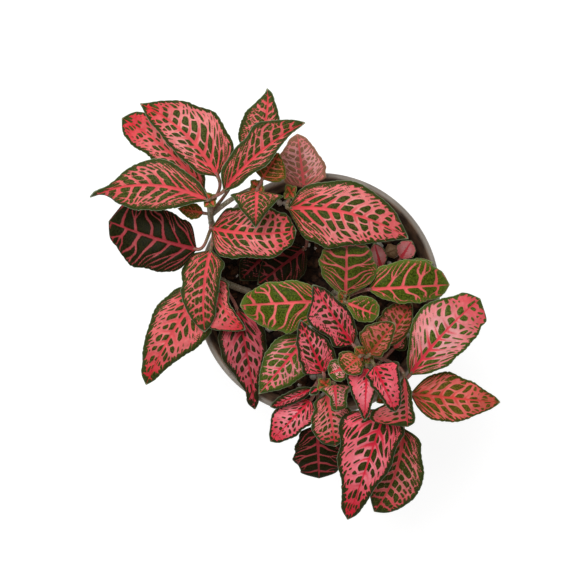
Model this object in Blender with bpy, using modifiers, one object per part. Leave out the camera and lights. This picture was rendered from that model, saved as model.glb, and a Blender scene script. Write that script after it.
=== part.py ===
"""Potted nerve plant: a round pot of soil with eight leafy shoots.

Metres, +Z up. The origin is the centre of the pot's foot. Sizes below are in millimetres, and
heights of stems and leaves are measured from the pot's rim, up being positive.
"""

from collections import namedtuple
from math import cos, radians, sin

import bmesh
import bpy
from mathutils import Vector

MM = 0.001
UP = Vector((0, 0, 1))

# Driving dimensions
RIM_RADIUS = 55.0
FOOT_RADIUS = 39.0
POT_HEIGHT = 90.0
WALL = 2.8
FLOOR = 3.2
POT_STEPS = 36
GROOVE_INNER, GROOVE_OUTER, GROOVE_DEPTH = 27.0, 31.0, 1.0
SOIL_TOP = -13.0
SOIL_BUMP = 1.0
SOIL_RINGS = (9.0, 9.0, 10.0, 10.0)
GAP = 0.3
OFF_CENTRE = (-0.6, -1.6)
ROOTED = 8.0
STRAIGHT_ABOVE_SOIL = 2.5
STEM_POINTS = 7
PETIOLE = 1.6
BLADE = 0.6
PETIOLE_ROWS, BLADE_ROWS, HALF_COLUMNS = 3, 9, 2
MIDRIB = 1.0
CUP = 0.18
TIP_SHARE = 0.035
TIP_HALF = 0.4
OUTLINE_RISE = 0.62
OUTLINE_FALL, BLUNTING = 1.25, 0.6
SOIL_CHAMFER = 3.0
POT_CORNER = 2.5
BRANCHING_SHARE = 0.82
SOCKET_SLACK = 0.1
TOP_SPREAD = 1.4
STEP = 0.01

Shoot = namedtuple("Shoot", "foot bend top radius")
FIELDS = "shoot at base tip width bow arch fold roll blunt look left right"
Leaf = namedtuple("Leaf", FIELDS, defaults=(None, None))

# Each shoot leaves the soil at its foot (x, y), leans through its bend and ends at its top.
# The left branch has no foot: it leaves the side of the left shoot.
SHOOTS = {
    "left_shoot": Shoot((-33, 23), (-50, 24, 4), (-46, 42, 45), 1.6),
    "left_branch": Shoot(None, (-36, 45, 38), (-26, 48, 45), 1.1),
    "low_left_shoot": Shoot((-31, 3), (-42, 6, -2), (-48, 12, 11), 1.5),
    "back_shoot": Shoot((-6, 30), (-6, 38, 10), (-12, 46, 33), 1.6),
    "centre_shoot": Shoot((8, 2), (10, 4, 15), (11, 0, 42), 1.6),
    "rosette_shoot": Shoot((16, -14), (15, -18, 20), (19, -24, 50), 1.6),
    "right_shoot": Shoot((24, -28), (24, -36, 6), (29, -43, 25), 1.6),
    "front_shoot": Shoot((2, -24), (-1, -34, 8), (3, -37, 32), 1.5),
    "seedling": Shoot((34, 11), (34, 11, -6), (35, 12, -2), 0.9),
}

# A leaf's stalk leaves its shoot at a share of the stem, a share of 1 rising from the stem's end, and its
# blade runs from base to tip. bow swings the midrib to the left, arch lifts it, fold and roll are in
# degrees, and blunt rounds the tip. The bigger leaves give the widths of their left and right halves at
# these shares of the blade. The others are plain pointed ovals.
STATIONS = (0.08, 0.25, 0.45, 0.65, 0.83, 0.95)
LEAVES = {
    "left_leaf_1": Leaf("left_shoot", 0.92, (-43, 52, 51), (-76, 83, 46), 26, -3.5, 4, 4, 0, 0.6, "pink",
        (5.3, 7.7, 8.7, 7, 5.2, 1.9), (9.5, 14.1, 14.5, 11.3, 5.9, 1.5)),
    "left_leaf_2": Leaf("left_shoot", 0.8, (-49.5, 46.8, 37), (-85, 78, 33),
        18, -2.5, 3, 6, 0, 0.5, "pink",
        (4, 6, 6.8, 7.6, 7.2, 4), (4, 6, 7.4, 8.6, 7.7, 4.2)),
    "left_leaf_3": Leaf("left_shoot", 1, (-47.5, 42, 47), (-98.5, 43.6, 38),
        23, -5.5, 5, 4, 0, 0.3, "net",
        (3.3, 8.7, 10.6, 9.8, 5.6, 0.8), (4.7, 8.9, 11.3, 7.8, 2, 1.6)),
    "left_leaf_4": Leaf("left_shoot", 0.66, (-53.2, 21.5, 26), (-92, 34, 20),
        26, 1, 4, 4, 0, 0.7, "dark",
        (7.8, 12.8, 14, 14.1, 8.8, 4.8), (8.5, 11.8, 13, 12.5, 11, 8.5)),
    "left_leaf_5": Leaf("left_shoot", 0.62, (-47, 21, 25), (-50, -15, 15),
        20, -1.5, 4, -4, 0, 0.4, "net",
        (6.2, 6.6, 6.5, 6, 5, 2.4), (7.4, 10.3, 10.1, 9.4, 5.8, 2.6)),
    "left_leaf_6": Leaf("left_shoot", 0.72, (-46.3, 30.6, 29), (-9.5, 29.5, 32),
        26, -2, 3, 6, 0, 0.9, "pink",
        (8, 11, 12, 12, 9, 5.8), (8.8, 11.3, 10.4, 10.8, 8.2, 4.5)),
    "left_leaf_7": Leaf("left_shoot", 0.86, (-30, 60, 43), (-22, 89, 50), 16, -3, 2, 6, 0, 0.1, "net",
        (6, 9.5, 10, 8.8, 4.6, 1.1), (6, 8, 7, 5.4, 3, 1.7)),
    "left_leaf_8": Leaf("left_shoot", 1, (-40, 46, 51), (-6, 74, 56), 24, 2.5, 2, 26, 0, 0.1, "net",
        (5, 8.3, 9.2, 11, 6, 2.4), (3.4, 4.8, 6.6, 4.6, 1.6, 0.8)),
    "left_leaf_9": Leaf("left_shoot", 0.84, (-50, 37, 33), (-61, 39, 32), 7, 0, 1, 8, 0, 0.3, "young"),
    "left_leaf_10": Leaf("left_shoot", 0.2, (-25, 18, -6), (-35, 8, -7), 13, 0, 1, 6, 0, 0.4, "dark"),
    "left_leaf_11": Leaf("left_branch", 1, (-24, 51, 47), (-17, 62, 47), 16, 0, 1, 10, 0, 0.4, "young"),
    "left_leaf_12": Leaf("left_branch", 1, (-26.4, 46, 48), (-27, 30, 43), 19, 0, 3, 6, 0, 0.2, "net",
        (9.8, 8.5, 6.2, 4, 1.8, 0.8), (9.6, 9.2, 7.7, 4.8, 2.2, 0.8)),
    "low_left_leaf_1": Leaf("low_left_shoot", 0.97, (-46, 9, 15), (-32, -14, 11),
        20, -3, 3, 4, 0, 0.1, "pink",
        (5, 5.5, 3.4, 3, 2.2, 1.2), (5, 9, 11.5, 10, 5, 2)),
    "low_left_leaf_2": Leaf("low_left_shoot", 0.9, (-51, 4, 11), (-77, -39, 2),
        25, -1.5, 6, 4, 0, 0.1, "pink",
        (7, 13, 14, 8, 4.7, 2.2), (7.5, 11.3, 12, 8.8, 6.1, 3)),
    "low_left_leaf_3": Leaf("low_left_shoot", 0.6, (-36, -5, 3), (-28, -50, 3),
        20, 1, 4, 4, 0, 0, "crimson",
        (6, 9.5, 8.8, 5.4, 2.6, 1.7), (6, 11.5, 10.9, 7.1, 3.3, 2.5)),
    "back_leaf_1": Leaf("back_shoot", 0.98, (-13, 39, 35), (39, 26, 31), 29, 4, 6, 4, 0, 0.3, "pink",
        (7.5, 11.5, 13.5, 11.8, 7, 2.3), (10.2, 15.4, 15.2, 11.6, 6.8, 2.2)),
    "back_leaf_2": Leaf("back_shoot", 0.8, (-6, 49, 16), (-9, 73, 13), 22, 0, 3, 4, 0, 1, "pale",
        (6.8, 9, 10, 9.2, 5.2, 3), (8, 10.5, 9.8, 7.2, 5.1, 2.5)),
    "back_leaf_3": Leaf("back_shoot", 0.4, (-6, 22, 2), (-27, 6, 1), 19, 0, 2, 4, 0, 0.4, "dark"),
    "centre_leaf_1": Leaf("centre_shoot", 1, (11.3, 1.4, 44), (12.6, 27, 26), 25, 0, 3, 4, 0, 1, "green",
        (4.3, 8.5, 11.5, 11.3, 9, 5), (4.5, 11, 12.8, 12.3, 10, 5.5)),
    "centre_leaf_2": Leaf("centre_shoot", 0.9, (22, 4, 37.3), (57, 6, 30), 18, 0, 4, 4, 0, 0.7, "green",
        (7.5, 10.4, 11.7, 11.6, 8.8, 5.6), (3, 5.7, 6.9, 7, 6, 4)),
    "centre_leaf_3": Leaf("centre_shoot", 1, (11.7, -1.6, 47.6), (25.2, -7.2, 47),
        15, 0, 1, 4, 0, 1, "green",
        (2, 4.3, 5.7, 6, 5, 3), (2, 3.6, 5.3, 5, 3.9, 2.4)),
    "centre_leaf_4": Leaf("centre_shoot", 0.92, (1, -1, 37.3), (-34, -3, 30),
        23, 0, 4, 4, 0, 0.5, "green",
        (7, 11, 12.6, 11.2, 7.4, 3.5), (6, 8.8, 9.6, 9.1, 6.7, 3.6)),
    "centre_leaf_5": Leaf("centre_shoot", 0.55, (-5, -17, 27), (-26, -42, 21),
        20, 0, 3, 4, 0, 0.4, "pale"),
    "rosette_leaf_1": Leaf("rosette_shoot", 0.9, (14.5, -19.5, 43), (-2.7, 6, 41),
        13, 0, 2, 12, 0, 0.1, "crimson",
        (6, 7, 10, 10, 4, 1.5), (4, 6.1, 6.9, 5.2, 4, 1.5)),
    "rosette_leaf_2": Leaf("rosette_shoot", 1, (21, -23.2, 57), (31.3, -9.9, 58),
        15, 0, 1, 10, 0, 0.3, "coral",
        (5.4, 8.5, 9, 7.1, 4.6, 2.2), (3.8, 4.5, 4.7, 3.5, 2.4, 1.4)),
    "rosette_leaf_3": Leaf("rosette_shoot", 1, (16.6, -24.3, 56), (9.8, -30.3, 55),
        13, 0, 1, 8, 0, 0.9, "coral",
        (3.2, 5, 5.8, 5.2, 3.6, 2), (3.5, 5.5, 6.5, 6.3, 4.8, 2.8)),
    "rosette_leaf_4": Leaf("rosette_shoot", 0.9, (11, -29, 48), (4, -32, 46), 8, 0, 1, 6, 0, 0.6, "pale",
        (3, 4.5, 5, 4.5, 3.4, 2), (3, 4.5, 5, 4.8, 3.6, 2.2)),
    "rosette_leaf_5": Leaf("rosette_shoot", 0.92, (20, -29, 51.3), (19.4, -52, 44),
        12, 0, 2, 8, 0, 0, "crimson",
        (4.2, 4.8, 4.2, 3, 2, 1), (7, 7.9, 6.5, 4.2, 2.3, 1)),
    "rosette_leaf_6": Leaf("rosette_shoot", 0.95, (23.2, -28, 54), (32.6, -48.2, 46),
        13, 0, 2, 8, 0, 0.1, "crimson",
        (8, 8.5, 7.6, 5.8, 4.3, 2.2), (4.5, 4.8, 4.4, 3, 2.5, 1.2)),
    "rosette_leaf_7": Leaf("rosette_shoot", 0.76, (29, -20, 30), (41, -2, 25),
        16, 0, 2, 6, 0, 0.2, "coral",
        (5, 8, 9, 8, 6, 3), (3, 5, 5.5, 5, 3, 1.2)),
    "rosette_leaf_8": Leaf("rosette_shoot", 0.82, (37, -34, 36), (38.7, -55.7, 31),
        12, 0, 2, 6, 0, 0.3, "pink",
        (1.5, 2.6, 2.6, 3, 3.4, 2.5), (2, 4, 8, 15, 15.5, 7)),
    "right_leaf_1": Leaf("right_shoot", 0.98, (40, -33, 29), (70, 0, 33), 24, 2, 6, 4, 0, 0.7, "pale",
        (4.6, 9, 14.3, 13.1, 8.1, 4.8), (5.4, 10.2, 11.4, 11.7, 9.8, 7)),
    "right_leaf_2": Leaf("right_shoot", 0.9, (41, -42, 20), (80.8, -46, 15),
        22, 0, 3, 4, 0, 0.1, "coral",
        (5.3, 10.2, 10.6, 8.3, 4.5, 2), (5.6, 10.2, 10.5, 8.8, 4.9, 2.1)),
    "right_leaf_3": Leaf("right_shoot", 0.95, (29.5, -48.5, 23), (13.5, -99, 7),
        25, 0, 5, 4, 0, 0.1, "crimson",
        (8.6, 10.5, 10, 7.2, 5, 2.7), (12, 16.4, 14.2, 10, 5.8, 3.2)),
    "right_leaf_4": Leaf("right_shoot", 0.75, (38, -58, 11), (26, -97, -5), 24, 3, 3, 4, 0, 0.8, "pink",
        (6.3, 9.6, 12.5, 12.7, 9.5, 4.5), (5, 8, 10, 9.5, 7, 3)),
    "right_leaf_5": Leaf("right_shoot", 0.25, (35, -23, -6), (41, -17, -5), 8, 0, 1, 4, 0, 0.6, "pink"),
    "front_leaf_1": Leaf("front_shoot", 0.99, (2, -32, 38), (-8, -9, 39.4),
        16, 0, 2, 12, 0, 0.2, "crimson",
        (6.3, 7.7, 7.1, 5.6, 3.4, 1.2), (6, 8, 8, 5.1, 2.5, 1)),
    "front_leaf_2": Leaf("front_shoot", 0.5, (0, -57, 5), (1, -82, -6), 21, 0, 2, 4, 0, 0.9, "dark",
        (6.5, 9, 10.5, 10.8, 9, 6.1), (6.3, 8.6, 10.7, 11, 8.6, 5.6)),
    "front_leaf_3": Leaf("front_shoot", 0.62, (-3, -45, 13), (-21, -64, 8),
        16, 0, 3, 4, 0, 0.2, "crimson",
        (5, 7.5, 6.8, 6.1, 4.4, 2.3), (4, 7, 8, 8, 4.6, 2)),
    "front_leaf_4": Leaf("front_shoot", 0.72, (-3, -40, 19), (-21, -48, 16),
        11, 0, 2, 4, 20, 0.2, "crimson",
        (2, 3, 3.2, 3, 2.4, 1.5), (2, 3, 3.2, 2.8, 2, 1)),
    "front_leaf_5": Leaf("front_shoot", 0.8, (4, -42, 21.8), (8, -66, 11), 16, 0, 3, 4, 0, 0.5, "pink",
        (6, 8, 9.5, 8.5, 5.5, 2.5), (5.2, 6.8, 8.9, 9, 7, 4)),
    "front_leaf_6": Leaf("front_shoot", 0.97, (7, -37, 34), (8, -49, 29), 12, 0, 2, 6, 0, 0.5, "pale",
        (6.5, 6, 5, 4.7, 4.5, 3.4), (5.5, 5, 2.8, 2.6, 2.4, 1.6)),
    "front_leaf_7": Leaf("front_shoot", 0.88, (0, -39, 27), (-4, -42, 26),
        4, 0, 0, 6, 0, 0.3, "crimson"),
    "seedling_leaf_1": Leaf("seedling", 0.3, (38, 18, -4), (43, 26, -4), 9, 0, 1, 4, 0, 0.9, "pale"),
    "seedling_leaf_2": Leaf("seedling", 0.98, (39, 14, 0), (52, 16, 4), 6, 0, 1, 4, 0, 0.6, "green"),
    "seedling_leaf_3": Leaf("seedling", 0.6, (29, 14, -4), (26, 25, -4), 8, 0, 1, 4, 0, 0.7, "pale"),
}
DRY_LEAF = Leaf(None, 0, (31, 20, -9.5), (38, 23, -9.5), 7, 0, 1.5, -14, 0, 0.7, "dry")

# name: colour, roughness
FINISHES = {
    "pot": ((0.27, 0.24, 0.21), 0.55),
    "soil": ((0.035, 0.02, 0.012), 0.95),
    "stem": ((0.30, 0.24, 0.16), 0.7),
    "pink": ((0.72, 0.16, 0.18), 0.5),
    "pale": ((0.75, 0.28, 0.29), 0.5),
    "crimson": ((0.60, 0.05, 0.10), 0.5),
    "coral": ((0.66, 0.13, 0.08), 0.5),
    "net": ((0.22, 0.13, 0.07), 0.5),
    "dark": ((0.12, 0.05, 0.04), 0.5),
    "green": ((0.12, 0.20, 0.04), 0.5),
    "young": ((0.35, 0.17, 0.05), 0.5),
    "dry": ((0.38, 0.24, 0.13), 0.85),
}


def clear_scene():
    for old in list(bpy.data.objects):
        bpy.data.objects.remove(old, do_unlink=True)


def new_collection(name, hidden=False):
    collection = bpy.data.collections.new(name)
    bpy.context.scene.collection.children.link(collection)
    collection.hide_render = hidden
    return collection


def finish(name):
    """The Principled material of this name, made the first time it is asked for."""
    if name in bpy.data.materials:
        return bpy.data.materials[name]
    colour, roughness = FINISHES[name]
    material = bpy.data.materials.new(name)
    material.use_nodes = True
    shader = material.node_tree.nodes["Principled BSDF"]
    shader.inputs["Base Color"].default_value = (*colour, 1)
    shader.inputs["Roughness"].default_value = roughness
    shader.inputs["Metallic"].default_value = 0
    return material


def add_object(name, data, collection, look):
    made = bpy.data.objects.new(name, data)
    collection.objects.link(made)
    data.materials.append(finish(look))
    return made


def in_pot(point):
    """A point of the plant, in millimetres with its height from the rim, as a world point."""
    x, y, z = point
    return Vector((x + OFF_CENTRE[0], y + OFF_CENTRE[1], z + POT_HEIGHT)) * MM


def arc(centre, radius, start, end, steps):
    """Points on an arc in the profile plane, angles in degrees."""
    angles = [radians(start + (end - start) * i / steps) for i in range(steps + 1)]
    return [(centre[0] + radius * cos(a), centre[1] + radius * sin(a)) for a in angles]


def wall_radius(height):
    """The pot's outer radius at a height above its foot."""
    return FOOT_RADIUS + (RIM_RADIUS - FOOT_RADIUS) * height / POT_HEIGHT


def pot_profile():
    """From the axis along the inside, over the lip, down the outside and back along the foot."""
    lip = WALL / 2
    lip_centre = (RIM_RADIUS - lip, POT_HEIGHT - lip)
    corner = POT_CORNER
    inner_floor = wall_radius(FLOOR) - WALL
    points = [(0, FLOOR), (inner_floor - corner, FLOOR)]
    points += arc((inner_floor - corner, FLOOR + corner), corner, -60, 0, 2)
    points += arc(lip_centre, lip, 180, 0, 4)
    points += arc((FOOT_RADIUS - corner, corner), corner, 0, -90, 2)
    points += [(GROOVE_OUTER, 0), (GROOVE_OUTER - 1, GROOVE_DEPTH)]
    points += [(GROOVE_INNER + 1, GROOVE_DEPTH), (GROOVE_INNER, 0), (0, 0)]
    return points


def make_pot(collection):
    mesh = bpy.data.meshes.new("pot")
    profile = [(x * MM, 0, z * MM) for x, z in pot_profile()]
    mesh.from_pydata(profile, [(i, i + 1) for i in range(len(profile) - 1)], [])
    pot = add_object("pot", mesh, collection, "pot")
    turn = pot.modifiers.new("turn", "SCREW")
    turn.axis = "Z"
    turn.steps = POT_STEPS
    turn.render_steps = POT_STEPS
    turn.use_merge_vertices = True
    turn.merge_threshold = 0.00005
    turn.use_smooth_shade = True


def make_soil(collection):
    """A tapered plug with a bumpy top, clear of the pot's wall and floor."""
    bottom = FLOOR + GAP
    top = POT_HEIGHT + SOIL_TOP
    bm = bmesh.new()
    bmesh.ops.create_cone(
        bm,
        cap_ends=True,
        segments=POT_STEPS,
        radius1=(wall_radius(bottom) - WALL - GAP - SOIL_CHAMFER) * MM,
        radius2=(wall_radius(top) - WALL - 2 * GAP) * MM,
        depth=(top - bottom) * MM,
    )
    bmesh.ops.translate(bm, vec=UP * (top + bottom) / 2 * MM, verts=bm.verts)
    crown = max(bm.faces, key=lambda face: face.calc_center_median().z)
    for ring in SOIL_RINGS:
        bmesh.ops.inset_region(bm, faces=[crown], thickness=ring * MM)
    bmesh.ops.poke(bm, faces=[crown])
    edge = (wall_radius(top) - WALL - 2 * GAP - 1) * MM
    for vert in bm.verts:
        if vert.co.z > (top - 1) * MM and vert.co.xy.length < edge:
            x, y = vert.co.x / MM, vert.co.y / MM
            vert.co.z += SOIL_BUMP * MM * sin(x * 0.31 + 1) * cos(y * 0.27)
    mesh = bpy.data.meshes.new("potting_soil")
    bm.to_mesh(mesh)
    bm.free()
    return add_object("potting_soil", mesh, collection, "soil")


def stem_foot(shoot):
    return (*shoot.foot, SOIL_TOP + STRAIGHT_ABOVE_SOIL)


def stem_point(name, share):
    """The stem's centre line above the soil, a curve from its foot past its bend to its top."""
    shoot = SHOOTS[name]
    start = Vector(branch_start() if shoot.foot is None else stem_foot(shoot))
    bend, top = Vector(shoot.bend), Vector(shoot.top)
    rest = 1 - share
    return start * rest * rest + bend * 2 * rest * share + top * share * share


def stem_direction(name, share):
    return (stem_point(name, share + STEP) - stem_point(name, share - STEP)).normalized()


def branch_start():
    """The side branch leaves the left shoot just clear of its bark."""
    centre = stem_point("left_shoot", BRANCHING_SHARE)
    away = Vector(SHOOTS["left_branch"].bend) - centre
    along = stem_direction("left_shoot", BRANCHING_SHARE)
    away = (away - along * away.dot(along)).normalized()
    return centre + away * (SHOOTS["left_shoot"].radius + 3 * GAP)


def make_tube(name, points, radius, collection, look):
    curve = bpy.data.curves.new(name, "CURVE")
    curve.dimensions = "3D"
    curve.bevel_depth = radius * MM
    curve.bevel_resolution = 2
    curve.use_fill_caps = True
    spline = curve.splines.new("POLY")
    spline.points.add(len(points) - 1)
    for point, place in zip(spline.points, points):
        point.co = (*in_pot(place), 1)
    return add_object(name, curve, collection, look)


def make_stem(name, collection):
    shoot = SHOOTS[name]
    points = [stem_point(name, i / (STEM_POINTS - 1)) for i in range(STEM_POINTS)]
    if shoot.foot is not None:
        points.insert(0, Vector((*shoot.foot, SOIL_TOP - ROOTED)))
    label = name if name.endswith("branch") else name + "_stem"
    make_tube(label, points, shoot.radius, collection, "stem")


def make_socket(name, collection):
    """The hole that a rooted stem stands in, a straight cutter a little wider than the stem."""
    shoot = SHOOTS[name]
    bottom = in_pot((*shoot.foot, SOIL_TOP - ROOTED - GAP))
    top = in_pot((*shoot.foot, SOIL_TOP + STRAIGHT_ABOVE_SOIL))
    bm = bmesh.new()
    radius = (shoot.radius + GAP + SOCKET_SLACK) * MM
    depth = top.z - bottom.z
    bmesh.ops.create_cone(
        bm, cap_ends=True, segments=12, radius1=radius, radius2=radius, depth=depth
    )
    bmesh.ops.translate(bm, vec=(top + bottom) / 2, verts=bm.verts)
    mesh = bpy.data.meshes.new(name + "_socket")
    bm.to_mesh(mesh)
    bm.free()
    cutter = add_object(name + "_socket", mesh, collection, "soil")
    cutter.hide_render = True
    cutter.display_type = "WIRE"
    return cutter


def oval(leaf, t):
    """Half width of a plain leaf at a share t of the blade."""
    rise, fall = OUTLINE_RISE, OUTLINE_FALL - BLUNTING * leaf.blunt
    peak = rise / (rise + fall)
    share = (t / peak) ** rise * ((1 - t) / (1 - peak)) ** fall
    return leaf.width / 2 * (max(share, TIP_SHARE) if t > 0 else 0)


def smooth_through(stations, values, t):
    """A smooth curve through the values, read at t."""
    last = len(stations) - 1
    spot = max(i for i in range(last) if stations[i] <= t)
    slopes = []
    for i in (spot, spot + 1):
        before, after = max(i - 1, 0), min(i + 1, last)
        slopes.append((values[after] - values[before]) / (stations[after] - stations[before]))
    run = stations[spot + 1] - stations[spot]
    s = (t - stations[spot]) / run
    first = (2 * s**3 - 3 * s**2 + 1) * values[spot] + (s**3 - 2 * s**2 + s) * run * slopes[0]
    return first + (3 * s**2 - 2 * s**3) * values[spot + 1] + (s**3 - s**2) * run * slopes[1]


def half_width(leaf, t, across):
    if leaf.left is None:
        return max(oval(leaf, t), PETIOLE / 2 * (1 - t))
    widths = (PETIOLE / 2, *(leaf.left if across < 0 else leaf.right), TIP_HALF)
    return max(smooth_through((0, *STATIONS, 1), widths, t), TIP_HALF)


def midrib(leaf, t):
    base, tip = Vector(leaf.base), Vector(leaf.tip)
    left = UP.cross(tip - base).normalized()
    return base.lerp(tip, t) + (UP * leaf.arch + left * leaf.bow) * 4 * t * (1 - t)


def blade_axes(leaf, t):
    """Tangent, side and normal of the blade at a share t of its midrib."""
    tangent = (midrib(leaf, t + STEP) - midrib(leaf, t - STEP)).normalized()
    side = tangent.cross(UP).normalized()
    normal = side.cross(tangent)
    turn = radians(leaf.roll)
    return (
        tangent,
        side * cos(turn) + normal * sin(turn),
        normal * cos(turn) - side * sin(turn),
    )


def blade_point(leaf, t, across):
    """A point of the blade, with across running from -1 at one margin to 1 at the other."""
    _, side, normal = blade_axes(leaf, t)
    half = half_width(leaf, t, across)
    fold = radians(leaf.fold)
    lift = abs(across) * sin(fold) - CUP * across * across
    return midrib(leaf, t) + half * (side * across * cos(fold) + normal * lift)


def petiole_frames(leaf):
    """Centre and side of the stalk's rows, from the stem to just short of the blade."""
    base = Vector(leaf.base)
    tangent, side, _ = blade_axes(leaf, 0)
    centre = stem_point(leaf.shoot, leaf.at)
    along = stem_direction(leaf.shoot, leaf.at)
    away = base - centre
    away = (away - along * away.dot(along)).normalized()
    if leaf.at == 1:
        heading = along
        start = centre + along * 2 * GAP + away * TOP_SPREAD
    else:
        heading = away
        start = centre + away * (SHOOTS[leaf.shoot].radius + 3 * GAP)
    reach = (base - start).length
    rows = []
    for i in range(PETIOLE_ROWS - 1, -1, -1):
        s = i / PETIOLE_ROWS
        out = (2 * s**3 - 3 * s**2 + 1) * start + (s**3 - 2 * s**2 + s) * heading * reach
        back = (3 * s**2 - 2 * s**3) * base + (s**3 - s**2) * tangent * reach
        slope = (6 * s**2 - 6 * s) * (start - base)
        slope += (3 * s**2 - 4 * s + 1) * heading * reach + (3 * s**2 - 2 * s) * tangent * reach
        slope.normalize()
        side = (side - slope * side.dot(slope)).normalized()
        rows.insert(0, (out + back, side))
    return rows


def leaf_point(leaf, stalk, row, column):
    across = column / HALF_COLUMNS - 1
    if row < len(stalk):
        centre, side = stalk[row]
        return centre + side * across * PETIOLE / 2
    return blade_point(leaf, (row - len(stalk)) / BLADE_ROWS, across)


def make_leaf(name, leaf, collection):
    """A grid laid along the stalk and blade, thick at the stalk and thin at the margins."""
    stalk = petiole_frames(leaf) if leaf.shoot else []
    rows, columns = len(stalk) + BLADE_ROWS, 2 * HALF_COLUMNS
    bm = bmesh.new()
    bmesh.ops.create_grid(bm, x_segments=columns, y_segments=rows, size=1)
    mesh = bpy.data.meshes.new(name)
    made = add_object(name, mesh, collection, leaf.look)
    made.vertex_groups.new(name="thick")
    weights = bm.verts.layers.deform.verify()
    for vert in bm.verts:
        row = round((vert.co.y + 1) / 2 * rows)
        column = round((vert.co.x + 1) / 2 * columns)
        vert.co = in_pot(leaf_point(leaf, stalk, row, column))
        on_rib = column == HALF_COLUMNS and row < rows - 1
        rib = (MIDRIB - BLADE) / (PETIOLE - BLADE) if on_rib else 0
        vert[weights][0] = 1 if row < len(stalk) else rib
    bm.to_mesh(mesh)
    bm.free()
    wall = made.modifiers.new("wall", "SOLIDIFY")
    wall.thickness = PETIOLE * MM
    wall.offset = 0
    wall.vertex_group = "thick"
    wall.thickness_vertex_group = BLADE / PETIOLE
    mesh.shade_smooth()


def make_plant():
    clear_scene()
    plant = new_collection("potted_nerve_plant")
    cutters = new_collection("cutters", hidden=True)
    make_pot(plant)
    soil = make_soil(plant)
    for name, shoot in SHOOTS.items():
        make_stem(name, plant)
        if shoot.foot is not None:
            hole = soil.modifiers.new(name + "_hole", "BOOLEAN")
            hole.operation = "DIFFERENCE"
            hole.solver = "EXACT"
            hole.object = make_socket(name, cutters)
    for name, leaf in LEAVES.items():
        make_leaf(name, leaf, plant)
    make_leaf("dry_leaf", DRY_LEAF, plant)


make_plant()
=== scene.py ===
import math
from collections import namedtuple

import bpy
import numpy as np
from mathutils import Euler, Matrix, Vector, noise


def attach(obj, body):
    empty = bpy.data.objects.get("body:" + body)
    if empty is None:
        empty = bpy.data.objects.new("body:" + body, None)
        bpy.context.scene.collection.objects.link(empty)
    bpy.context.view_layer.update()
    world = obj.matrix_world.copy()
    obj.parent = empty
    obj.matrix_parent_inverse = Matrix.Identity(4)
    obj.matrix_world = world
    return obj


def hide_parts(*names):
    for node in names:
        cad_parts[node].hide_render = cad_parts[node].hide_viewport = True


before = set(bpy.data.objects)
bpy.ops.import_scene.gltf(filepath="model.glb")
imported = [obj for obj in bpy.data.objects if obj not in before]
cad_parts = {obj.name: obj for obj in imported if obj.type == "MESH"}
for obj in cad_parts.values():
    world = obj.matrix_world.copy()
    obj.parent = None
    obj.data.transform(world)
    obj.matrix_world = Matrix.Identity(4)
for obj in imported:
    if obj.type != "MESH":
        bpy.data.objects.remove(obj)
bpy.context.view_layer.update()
mm = 0.001
up = np.array([0.0, 0.0, 1.0])
fullTurn = 6.28  # radians
nudge = 0.01  # a small step along a curve
print("frame loaded:", len(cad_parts), "nodes")


# small helpers

def clearSelection():
    if bpy.context.object and bpy.context.object.mode != "OBJECT":
        bpy.ops.object.mode_set(mode="OBJECT")
    bpy.ops.object.select_all(action="DESELECT")


def pick(piece):
    clearSelection()
    piece.select_set(True)
    bpy.context.view_layer.objects.active = piece


def newGrid(columns, rows):
    clearSelection()
    bpy.ops.mesh.primitive_grid_add(x_subdivisions=columns, y_subdivisions=rows, size=2)
    return bpy.context.object


def editAll(piece):
    pick(piece)
    bpy.ops.object.mode_set(mode="EDIT")
    bpy.ops.mesh.select_all(action="SELECT")


def turnFacesOut():
    bpy.ops.mesh.select_all(action="SELECT")
    bpy.ops.mesh.normals_make_consistent(inside=False)
    bpy.ops.object.mode_set(mode="OBJECT")


def readPoints(mesh):
    flat = np.empty(len(mesh.vertices) * 3)
    mesh.vertices.foreach_get("co", flat)
    return flat.reshape(-1, 3)


def writePoints(mesh, points):
    mesh.vertices.foreach_set("co", np.asarray(points, dtype=float).ravel())
    mesh.update()


def applyModifier(piece, kind, **settings):
    pick(piece)
    modifier = piece.modifiers.new(kind.lower(), kind)
    for key, value in settings.items():
        setattr(modifier, key, value)
    bpy.ops.object.modifier_apply(modifier=modifier.name)


def joinPieces(pieces, name):
    clearSelection()
    for piece in pieces:
        piece.select_set(True)
    bpy.context.view_layer.objects.active = pieces[0]
    if len(pieces) > 1:
        bpy.ops.object.join()
    joined = bpy.context.object
    joined.name = name
    joined.data.name = name
    bpy.ops.object.transform_apply(location=True, rotation=True, scale=True)
    return joined


def finishPiece(piece, slotName, *nodes):
    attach(piece, "root")
    if nodes:
        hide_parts(*nodes)


def smoothRamp(low, high, values):
    share = np.clip((values - low) / (high - low), 0, 1)
    return share * share * (3 - 2 * share)


def softLeast(softness, *values):
    # the least of the values, or along the last axis of one array, with rounded corners
    values = values[0] if len(values) == 1 else np.stack(values, axis=-1)
    least = values.min(axis=-1, keepdims=True)
    total = np.exp(-(values - least) / softness).sum(axis=-1)
    return least[..., 0] - softness * np.log(total)


def bendBetween(first, firstSlope, last, lastSlope, s):
    # a smooth curve from one place to another, with the slope given at each end
    leaving = (2 * s**3 - 3 * s**2 + 1) * first + (s**3 - 2 * s**2 + s) * firstSlope
    return leaving + (3 * s**2 - 2 * s**3) * last + (s**3 - s**2) * lastSlope


def wobble(dice, values, pitch, count=4):
    # a smooth wandering value, mostly within -1 to 1, about one swing for each pitch
    total = np.zeros_like(values, dtype=float)
    for _ in range(count):
        speed = 2 * math.pi / pitch * dice.uniform(0.6, 1.5)
        total += np.sin(values * speed + dice.uniform(0, fullTurn))
    return total / count * 1.4


def unit(vectors):
    return vectors / np.linalg.norm(vectors, axis=-1, keepdims=True)


# node helpers for the materials

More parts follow.
